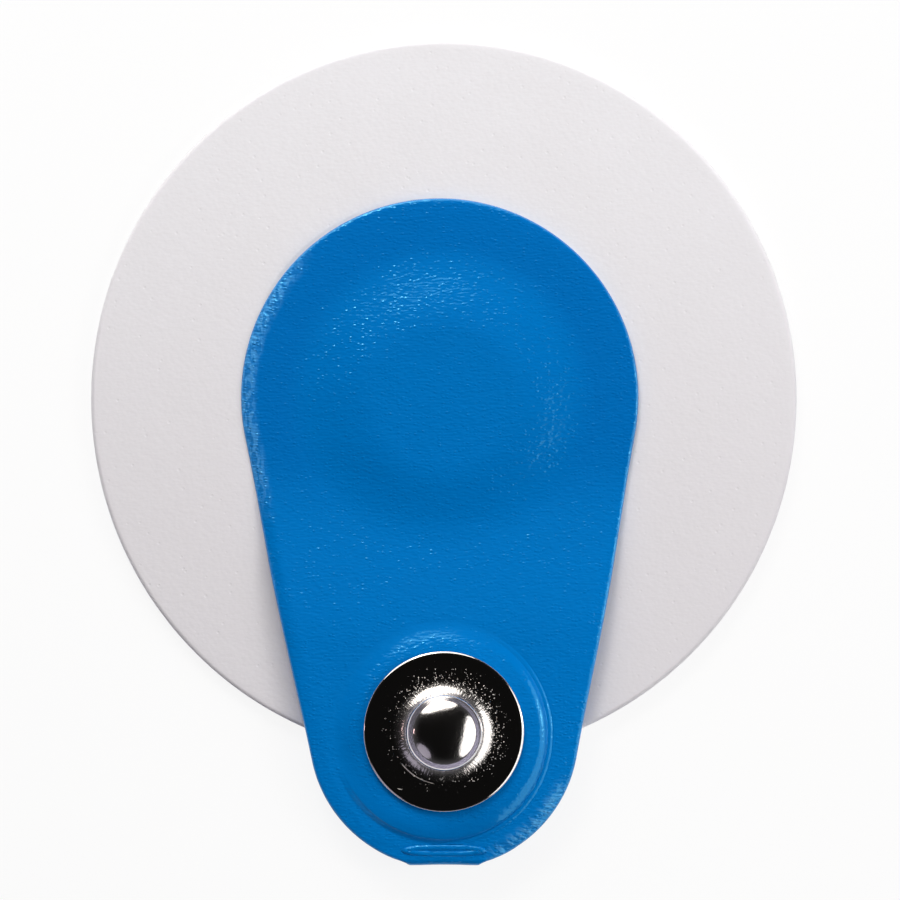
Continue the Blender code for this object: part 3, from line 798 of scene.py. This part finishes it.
def label_shape(form, geometry, size):
    """Folds the flat sheet, raises its relief, parts its two skins and grains the outer one."""
    flat = form.position()
    u, v, _ = form.parts(flat)
    from_edge = form.attribute("from_edge")
    outer = form.attribute("outer_skin")
    radius = size["Fold Radius"]
    across = u - size["Stud X"]
    bow = 1.0 - across * across / (size["Neck Width"] * size["Neck Width"] / 4)
    fold_line = size["Fold Line"] + form.math("MAXIMUM", bow, 0.0) * size["Neck Hollow"]
    past = fold_line - v
    length = radius * math.pi
    turn = form.math("MINIMUM", form.math("MAXIMUM", past / radius, 0.0), math.pi)
    y = (
        fold_line
        - radius * form.math("SINE", turn)
        - form.math("MINIMUM", past, 0.0)
        + form.math("MAXIMUM", past - length, 0.0)
    )
    top = form.math("LESS_THAN", past, 0.0)
    flap = form.math("GREATER_THAN", past, length / 2)

    reach = form.distance(u, v)
    dome = size["Dome Rise"] * (
        1.0 - form.smooth(reach, size["Dome Shoulder"], size["Dome Foot"])
    )
    climb = form.smooth(-v, size["Rise Start"], size["Rise End"])
    tab = size["Tab Rise"] * climb
    rise = dome + tab - dome * tab / size["Tab Rise"] - size["Tab Rise"]
    soft_dome = size["Soft Dome Rise"] * (
        1.0 - form.smooth(reach, size["Soft Dome Shoulder"], size["Soft Dome Foot"])
    )
    soft_tab = size["Tab Rise"] * form.smooth(-v, size["Soft Rise Start"], size["Soft Rise End"])
    soft_rise = soft_dome + soft_tab - soft_dome * soft_tab / size["Tab Rise"]

    along = v - size["Stud Y"]
    stud_far = form.distance(across, along)
    edge, slope = size["Plateau Edge"], size["Plateau Slope"]
    plateau = size["Plateau Rise"] * (1.0 - form.smooth(stud_far, edge, edge + slope))
    soft_edge = size["Soft Plateau Edge"]
    soft = 1.0 - form.smooth(stud_far, soft_edge, soft_edge + size["Soft Plateau Slope"])
    lit = form.smooth((across * size["Crisp X"] + along * size["Crisp Y"]) / stud_far, 0.1, 0.95)
    shaded = form.smooth(-along / stud_far, 0.2, 0.9)
    firm_far = form.distance(across + size["Firm Left"], along + size["Firm Down"])
    firm_slope = size["Firm Slope"] * (1.0 + shaded * 0.6)
    down = form.math("MAXIMUM", 1.0 + (firm_far - size["Firm Foot"]) / firm_slope, 0.0)
    firm = 1.0 - form.math("MINIMUM", down * down, 1.0)
    crisp = form.math("MAXIMUM", lit, shaded)
    soft_plateau = size["Plateau Rise"] * (soft + crisp * (firm - soft))
    softened = top * (soft_rise - size["Tab Rise"] - rise + soft_plateau - plateau)
    lip_place = (firm_far - size["Firm Foot"] - size["Lip Setback"]) / size["Lip Width"]
    lip = lit * size["Lip Rise"] * form.math("EXPONENT", -(lip_place * lip_place))

    crease_x = across / size["Crease Half Width"]
    crease_y = (v - size["Crease Y"]) / size["Crease Half Height"]
    narrow = crease_x * crease_x
    lens = 1.0 - narrow * narrow - form.math("ABSOLUTE", crease_y)
    lens_lip = form.math("EXPONENT", -(lens * lens) * 8.0)
    ends = 1.0 + form.smooth(narrow, 0.5, 0.9) * 0.8
    lens_rise = size["Crease Lip"] * lens_lip * ends * form.math("LESS_THAN", narrow, 1.3)

    rim = 1.0 - form.smooth(from_edge, 0.0, size["Edge Band"])
    off_fold = form.smooth(form.math("ABSOLUTE", past - length / 2) - length / 2, 0.0, 0.9 * MM)
    close = size["Rim Close"] * rim * off_fold
    bulge = size["Flap Bulge"] * (
        1.0
        - form.smooth(
            form.distance(across, y - size["Stud Y"]),
            size["Bulge Edge"],
            size["Bulge Edge"] + size["Bulge Slope"],
        )
    )
    z = (
        size["Fold Axis"]
        + radius * form.math("COSINE", turn)
        + top * (rise + plateau + lip + lens_rise - close * climb)
        + flap * (close - bulge)
    )
    geometry = form.placed(geometry, Position=form.vector(u, y, z))

    rounding = size["Edge Round"]
    short = 1.0 - form.math("MINIMUM", from_edge / rounding, 1.0)
    drop = size["Edge Drop"] * (short * 0.8 + form.math("POWER", short, 6.0))
    seeded = form.moved(flat, form.vector(0.0, 0.0, size["Seed"]))
    warp = form.noise(seeded, 1.1 * MM, 2.0)
    stretched = form.stretched(seeded, 0.6, 1.0)
    pebbles = form.cells(stretched, 0.42 * MM, "SMOOTH_F1")
    swell = form.noise(seeded, 2.4 * MM, 1.0)
    left = form.smooth(-(u - size["Head X"]) / size["Head Radius"], 0.66, 0.92) * rim
    wrinkled = (
        rim
        * form.smooth(across, *WRINKLES_AND_PAINTED_GLINT_RIGHT)
        * form.smooth(size["Stud Y"] - v, *WRINKLES_AND_PAINTED_GLINT_DOWN)
        * top
    )
    round_stud = form.math("ARCTAN2", across, v - size["Stud Y"])
    wrinkles = form.strokes(round_stud, stud_far, size["Seed"])
    grain = size["Grain Height"] * (pebbles - 0.4 + (warp - 0.5) * 0.9) * (1.0 + left * 3.0)
    grain = grain + size["Wrinkle Height"] * wrinkled * (wrinkles - 0.5)
    relief = grain * form.smooth(from_edge, 0.0, 0.2 * MM) + (swell - 0.5) * size["Swell Height"]
    pressed = size["Edge Press"] * rim * (0.25 + left * 1.8 + wrinkled * 1.5)
    amount = size["Sheet Thickness"] / 2 + outer * (softened + relief - drop - pressed)
    return form.pushed(geometry, amount)


def close_rim(mesh, first_inner, outline_count, hole_count):
    """Joins the two skins round the cut edge and the stud's hole."""
    bm = bmesh.new()
    bm.from_mesh(mesh)
    bm.verts.ensure_lookup_table()
    for i in range(outline_count):
        j = (i + 1) % outline_count
        corners = (j, i, first_inner + i, first_inner + j)
        bm.faces.new([bm.verts[k] for k in corners])
    for i in range(hole_count):
        a = outline_count + i
        b = outline_count + (i + 1) % hole_count
        bm.faces.new([bm.verts[k] for k in (a, b, first_inner + b, first_inner + a)])
    bm.to_mesh(mesh)
    bm.free()


def label():
    """The label with its two skins, folded, pressed into shape and joined round the rim."""
    sizes = {
        "Sheet Thickness": LABEL_THICKNESS,
        "Fold Line": FOLD_LINE_Y,
        "Fold Radius": FOLD_RADIUS,
        "Fold Axis": FOLD_AXIS_Z,
        "Neck Width": NECK_WIDTH,
        "Neck Hollow": 0.1 * MM,
        "Stud X": STUD_X,
        "Stud Y": STUD_Y,
        "Dome Rise": DOME_RISE,
        "Head X": HEAD_CENTRE[0],
        "Head Radius": HEAD_RADIUS,
        "Soft Dome Rise": 0.82 * MM,
        "Soft Dome Shoulder": 4.6 * MM,
        "Soft Dome Foot": 10.4 * MM,
        "Soft Rise Start": 4.5 * MM,
        "Soft Rise End": 16.5 * MM,
        "Dome Shoulder": PAD_RADIUS - DOME_SHOULDER,
        "Dome Foot": PAD_RADIUS + DOME_FOOT,
        "Rise Start": -RISE_START_Y,
        "Rise End": -RISE_END_Y,
        "Tab Rise": TAB_RISE,
        "Plateau Rise": PLATEAU_RISE,
        "Plateau Edge": PLATEAU_EDGE,
        "Plateau Slope": PLATEAU_SLOPE,
        "Soft Plateau Edge": 5.35 * MM,
        "Soft Plateau Slope": 2.15 * MM,
        "Crisp X": math.sin(CRISP_TURN),
        "Crisp Y": math.cos(CRISP_TURN),
        "Firm Left": 0.3 * MM,
        "Firm Down": 0.22 * MM,
        "Firm Foot": 7.36 * MM,
        "Firm Slope": 0.74 * MM,
        "Lip Setback": 0.1 * MM,
        "Lip Width": 0.1 * MM,
        "Lip Rise": 0.1 * MM,
        "Crease Half Width": CREASE_HALF_WIDTH,
        "Crease Half Height": CREASE_HALF_HEIGHT,
        "Crease Y": LABEL_LOW.y + CREASE_ABOVE_END,
        "Crease Lip": CREASE_LIP,
        "Edge Band": EDGE_BAND,
        "Edge Round": 0.17 * MM,
        "Edge Drop": 0.1 * MM,
        "Edge Press": 0.13 * MM,
        "Rim Close": 0.07 * MM,
        "Flap Bulge": FLAP_BULGE,
        "Bulge Edge": EYELET_RADIUS + EYELET_MARGIN,
        "Bulge Slope": FLAP_BULGE_SLOPE,
        "Grain Height": 0.016 * MM,
        "Wrinkle Height": 0.09 * MM,
        "Swell Height": 0.04 * MM,
        "Seed": STROKE_SEED,
    }
    flat, first_inner, outline_count, hole_count = flat_label()
    mesh = Form("pressed_label", sizes, vinyl(), label_shape).applied(flat)
    close_rim(mesh, first_inner, outline_count, hole_count)
    finished(piece("soft_label", mesh), "label")


def disc_shape(form, geometry, size):
    """Stretches the round disc to its length and pebbles the foam's skin."""
    x, y, z = form.parts(form.position())
    seeded = form.moved(form.position(), form.vector(0.0, 0.0, size["Seed"]))
    pebbles = form.cells(seeded, 0.5 * MM, "SMOOTH_F1")
    swell = form.noise(seeded, 4.0 * MM, 2.0)
    upper = form.smooth(z, size["Thickness"] * 0.3, size["Thickness"])
    relief = (pebbles - 0.4) * size["Pebble Height"] + (swell - 0.5) * size["Swell Height"]
    geometry = form.placed(geometry, Position=form.vector(x, y * size["Stretch"], z))
    return form.pushed(geometry, relief * upper)


def foam_disc():
    """The foam disc with the round well for the sponge."""
    radius = (DISC_HIGH.x - DISC_LOW.x) / 2
    stretch = (DISC_HIGH.y - DISC_LOW.y) / 2 / radius
    top = DISC_HIGH.z - PEBBLE_ROOM
    profile = [(r, 0.0) for r in steps_between(WELL_RADIUS, radius - DISC_FOOT_BEVEL, 12)]
    profile.append((radius, DISC_FOOT_BEVEL))
    centre = (radius - DISC_EDGE_ROUND, top - DISC_EDGE_ROUND)
    profile += arc(centre, DISC_EDGE_ROUND, 0.0, 90.0, 8)
    inner = radius - DISC_EDGE_ROUND
    profile += [(r, top) for r in steps_between(inner, WELL_RADIUS, 52)[1:]]
    sizes = {
        "Thickness": top,
        "Stretch": stretch,
        "Pebble Height": 0.016 * MM,
        "Swell Height": 0.03 * MM,
        "Seed": 0.3,
    }
    base = piece("flat_disc", turned("flat_disc", profile, DISC_SECTORS, closed=True))
    mesh = Form("foam_skin", sizes, foam(), disc_shape).applied(base)
    finished(piece("foam_disc", mesh), "adhesive_disc")


def sponge_shape(form, geometry, size):
    """Opens the sponge's pores on its wet underside."""
    _, _, z = form.parts(form.position())
    pores = form.cells(form.position(), 0.5 * MM, "DISTANCE_TO_EDGE")
    open_face = 1.0 - form.smooth(z, 0.1 * MM, 0.5 * MM)
    return form.pushed(geometry, -form.smooth(pores, 0.04, 0.3) * open_face * size["Pore Depth"])


def sponge():
    """The gel-soaked sponge in the disc's well. Its top follows the label's dome, and is flat
    under the sensor plate."""
    shoulder, foot = PAD_RADIUS - DOME_SHOULDER, PAD_RADIUS + DOME_FOOT
    profile = [(r, 0.0) for r in steps_between(0.0, PAD_RADIUS - PAD_EDGE_ROUND, 44)]
    centre = (PAD_RADIUS - PAD_EDGE_ROUND, PAD_EDGE_ROUND)
    profile += arc(centre, PAD_EDGE_ROUND, -90.0, 0.0, 5)[1:]
    recess_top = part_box("sensor_plate")[0].z - SENSOR_GAP
    for radius in steps_between(PAD_RADIUS, shoulder, 8):
        t = (radius - shoulder) / (foot - shoulder)
        rise = DOME_RISE * (1.0 - t * t * (3.0 - 2.0 * t))
        profile.append((radius, min(DISC_HIGH.z + rise, recess_top)))
    profile.append((0.0, recess_top))
    base = piece("plain_sponge", turned("plain_sponge", profile, PAD_SECTORS))
    mesh = Form("sponge_pores", {"Pore Depth": 0.09 * MM}, wet_sponge(), sponge_shape).applied(base)
    finished(piece("gel_sponge", mesh), "gel_pad")


def stud_profile():
    """The stud from its rim over the flange, fillet, neck and head, then down inside."""
    flange_radius = (STUD_HIGH.x - STUD_LOW.x) / 2
    height = STUD_HIGH.z - STUD_LOW.z
    fillet_edge = NECK_RADIUS + FILLET_RADIUS
    rim = FLANGE_THICKNESS / 2
    profile = arc((flange_radius - rim, rim), rim, -90.0, 0.0, 8)
    for turn in steps_between(0.0, 90.0, 22)[1:]:
        t = math.radians(turn)
        across = flange_radius - RIM_ROLL * (1.0 - math.cos(t))
        profile.append((across, FLANGE_THICKNESS - rim * 0.7 * (1.0 - math.sin(t))))
    flat = steps_between(flange_radius - RIM_ROLL, fillet_edge + SINK_START, 30)[1:]
    profile += [(r, FLANGE_THICKNESS) for r in flat]
    profile.append((fillet_edge + SINK_END, FLANGE_THICKNESS - FILLET_SINK))
    centre = (fillet_edge, FLANGE_THICKNESS - FILLET_SINK + FILLET_RADIUS)
    profile += arc(centre, FILLET_RADIUS, 270.0, 180.0, 30)
    underside_z = centre[1]
    equator_z = height - HEAD_DOME
    for t in steps_between(0.0, 1.0, 16)[1:-1]:
        out = (HEAD_RADIUS_OF_STUD - NECK_RADIUS) * t * t * (3.0 - 2.0 * t)
        profile.append((NECK_RADIUS + out, underside_z + (equator_z - underside_z) * t))
    for turn in steps_between(0.0, 60.0, 12):
        t = math.radians(turn)
        across = HEAD_RADIUS_OF_STUD - HEAD_ROLL * (1.0 - math.cos(t))
        profile.append((across, equator_z + HEAD_ROLL_HEIGHT * math.sin(t)))
    roll_end = profile[-1]
    cap = math.degrees(math.acos(CAP_SHARE))
    dome = []
    for turn in steps_between(cap, 90.0, 40)[:-1]:
        t = math.radians(turn)
        dome.append((HEAD_RADIUS_OF_STUD * math.cos(t), equator_z + HEAD_DOME * math.sin(t)))
    for t in SHOULDER_STEPS:
        profile.append(tuple(Vector(roll_end).lerp(Vector(dome[0]), t)))
    profile += dome
    profile += [(0.0, height), (0.0, height - STUD_SHEET)]
    for turn in steps_between(90.0, 0.0, 8)[1:]:
        t = math.radians(turn)
        radius = (HEAD_RADIUS_OF_STUD - STUD_SHEET) * math.cos(t)
        profile.append((radius, equator_z + (HEAD_DOME - STUD_SHEET) * math.sin(t)))
    inner_neck = NECK_RADIUS - STUD_SHEET
    profile += [(inner_neck, underside_z), (inner_neck, rim), (SHANK_HOLE_RADIUS, rim)]
    profile.append((SHANK_HOLE_RADIUS, 0.0))
    return profile


def press_stud():
    """The drawn press stud, whose head leans a little."""
    mesh = turned("press_stud", stud_profile(), STUD_SECTORS, closed=True)
    top = STUD_HIGH.z - STUD_LOW.z
    start = top - LEAN_DEPTH
    for point in mesh.vertices:
        share = max(0.0, point.co.z - start) / (top - start)
        point.co.x += HEAD_LEAN[0] * share
        point.co.y += HEAD_LEAN[1] * share
    mesh.transform(Matrix.Translation((STUD_X, STUD_Y, STUD_LOW.z)))
    made = piece("press_stud", mesh)
    mesh.materials.append(polished_nickel())
    finished(made, "stud")


def inner_pieces():
    """The hidden pieces keep the model's shape and get their finish."""
    finishes = {
        "sensor_plate": hidden_finish(
            "silver_chloride", (0.42, 0.41, 0.44), (0.30, 0.29, 0.33), 0.55, 0.5
        ),
        "lead_strip": hidden_finish("carbon_film", (0.03, 0.03, 0.035), (0.05, 0.05, 0.05), 0.4),
        "stiffening_washer": hidden_finish(
            "white_plastic", (0.84, 0.84, 0.82), (0.78, 0.78, 0.77), 0.45
        ),
        "eyelet": hidden_finish("bright_eyelet", (0.74, 0.72, 0.68), (0.64, 0.62, 0.6), 0.2, 1.0),
    }
    for node, finish in finishes.items():
        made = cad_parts[node]
        made.data.materials.clear()
        made.data.materials.append(finish)


def soft_light(name, azimuth, elevation, half_width, half_height, level, colour, away=0.5):
    """A soft panel that faces the object. azimuth is clockwise from +Y as seen from above, and
    the angles are what the panel spans as seen from the object."""
    flat = math.cos(math.radians(elevation)) * away
    place = Vector(
        (
            math.sin(math.radians(azimuth)) * flat,
            math.cos(math.radians(azimuth)) * flat,
            math.sin(math.radians(elevation)) * away,
        )
    )
    lamp = bpy.data.lights.new(name, "AREA")
    lamp.shape = "ELLIPSE"
    lamp.size = 2 * away * math.tan(math.radians(half_width))
    lamp.size_y = 2 * away * math.tan(math.radians(half_height))
    lamp.energy = level * lamp.size * lamp.size_y * math.pi**2 / 4
    lamp.color = colour
    made = piece(name, lamp)
    made.location = place
    made.rotation_euler = place.to_track_quat("Z", "Y").to_euler()
    return made


def room():
    """A dark ceiling over a violet backdrop that reaches a little above the horizon."""
    world = bpy.data.worlds.new("dark_studio")
    bpy.context.scene.world = world
    world.use_nodes = True
    tree = Tree(world.node_tree)
    background = world.node_tree.nodes["Background"]
    _, _, height = tree.parts(tree.node("ShaderNodeTexCoord", output="Generated"))
    ceiling = tree.smooth(height, 0.25, 0.75)
    tone = tree.colour(ceiling, (0.07, 0.07, 0.075, 1.0), (0.004, 0.004, 0.004, 1.0))
    backdrop = 1.0 - tree.smooth(height, 0.02, 0.12)
    tone = tree.colour(backdrop, tone, (0.44, 0.42, 0.62, 1.0))
    tree.links.new(tone.socket, background.inputs["Color"])


def studio():
    """A large soft panel with a bright core beyond the head, a weaker pair to the right, a small
    lamp and a dim panel to the left, and a fill from above that metal doesn't reflect."""
    warm, plain = (1.0, 0.98, 0.955), (1.0, 0.99, 0.985)
    soft_light("top_panel", -14.0, 32.0, 35.0, 26.0, 2.0, warm, 0.25)
    soft_light("top_core", -18.0, 38.0, 10.0, 9.0, 11.0, warm, 0.24)
    soft_light("right_panel", 106.0, 38.0, 36.0, 22.0, 1.5, plain, 0.25)
    soft_light("right_core", 90.0, 38.0, 6.0, 7.0, 8.0, plain, 0.24)
    soft_light("left_lamp", -93.0, 26.0, 2.2, 2.2, 6.0, (1.0, 0.72, 0.74))
    soft_light("low_left_panel", -136.0, 32.0, 14.0, 16.0, 0.4, (0.85, 0.8, 1.0))
    fill = soft_light("overhead_fill", 0.0, 75.0, 20.0, 20.0, 0.78, (0.98, 0.97, 1.0))
    fill.visible_glossy = False


def white_floor():
    """A white floor that shows the object's shadow faintly. It glows only for rays that come from
    the camera, a mirror or glass, so it sheds no extra light on the object."""
    bm = bmesh.new()
    bmesh.ops.create_grid(bm, x_segments=1, y_segments=1, size=2.0)
    bmesh.ops.translate(bm, verts=bm.verts, vec=(0.0, 0.0, -FLOOR_DEPTH))
    mesh = bpy.data.meshes.new("floor")
    bm.to_mesh(mesh)
    bm.free()
    floor = piece("floor", mesh)
    white = (1.0, 1.0, 1.0, 1.0)
    finish, tree, paper = material("white_floor", 1.0, Base_Color=white, Specular_IOR_Level=0.0)
    seen = seen_rays(tree)
    glow = tree.node("ShaderNodeEmission", inputs={"Color": white, "Strength": 1.0})
    mixed = tree.node(
        "ShaderNodeMixShader",
        inputs={0: seen * FLOOR_GLOW, 1: Value(tree, paper.outputs["BSDF"]), 2: glow},
    )
    surface = finish.node_tree.nodes["Material Output"].inputs["Surface"]
    tree.links.new(mixed.socket, surface)
    mesh.materials.append(finish)


def seen_rays(tree):
    """1 for what is seen straight, in a mirror or through glass, and 0 for lit surfaces."""
    rays = tree.nodes.new("ShaderNodeLightPath")
    names = ("Is Camera Ray", "Is Glossy Ray", "Is Transmission Ray")
    camera, glossy, through = (Value(tree, rays.outputs[name]) for name in names)
    return tree.math("MINIMUM", camera + glossy + through, 1.0)


def camera():
    """A long lens that looks straight down, a little towards the tab from the disc's centre."""
    lens = bpy.data.cameras.new("camera")
    lens.sensor_width = 36.0
    lens.lens = lens.sensor_width * (CAMERA_HEIGHT - DISC_HIGH.z) / FRAME_WIDTH
    lens.clip_start = 10.0 * MM
    made = piece("camera", lens)
    made.location = (*FRAME_CENTRE, CAMERA_HEIGHT)
    bpy.context.scene.camera = made


foam_disc()
sponge()
label()
press_stud()
inner_pieces()
studio()
room()
white_floor()
camera()
bpy.context.scene.view_settings.view_transform = "Standard"
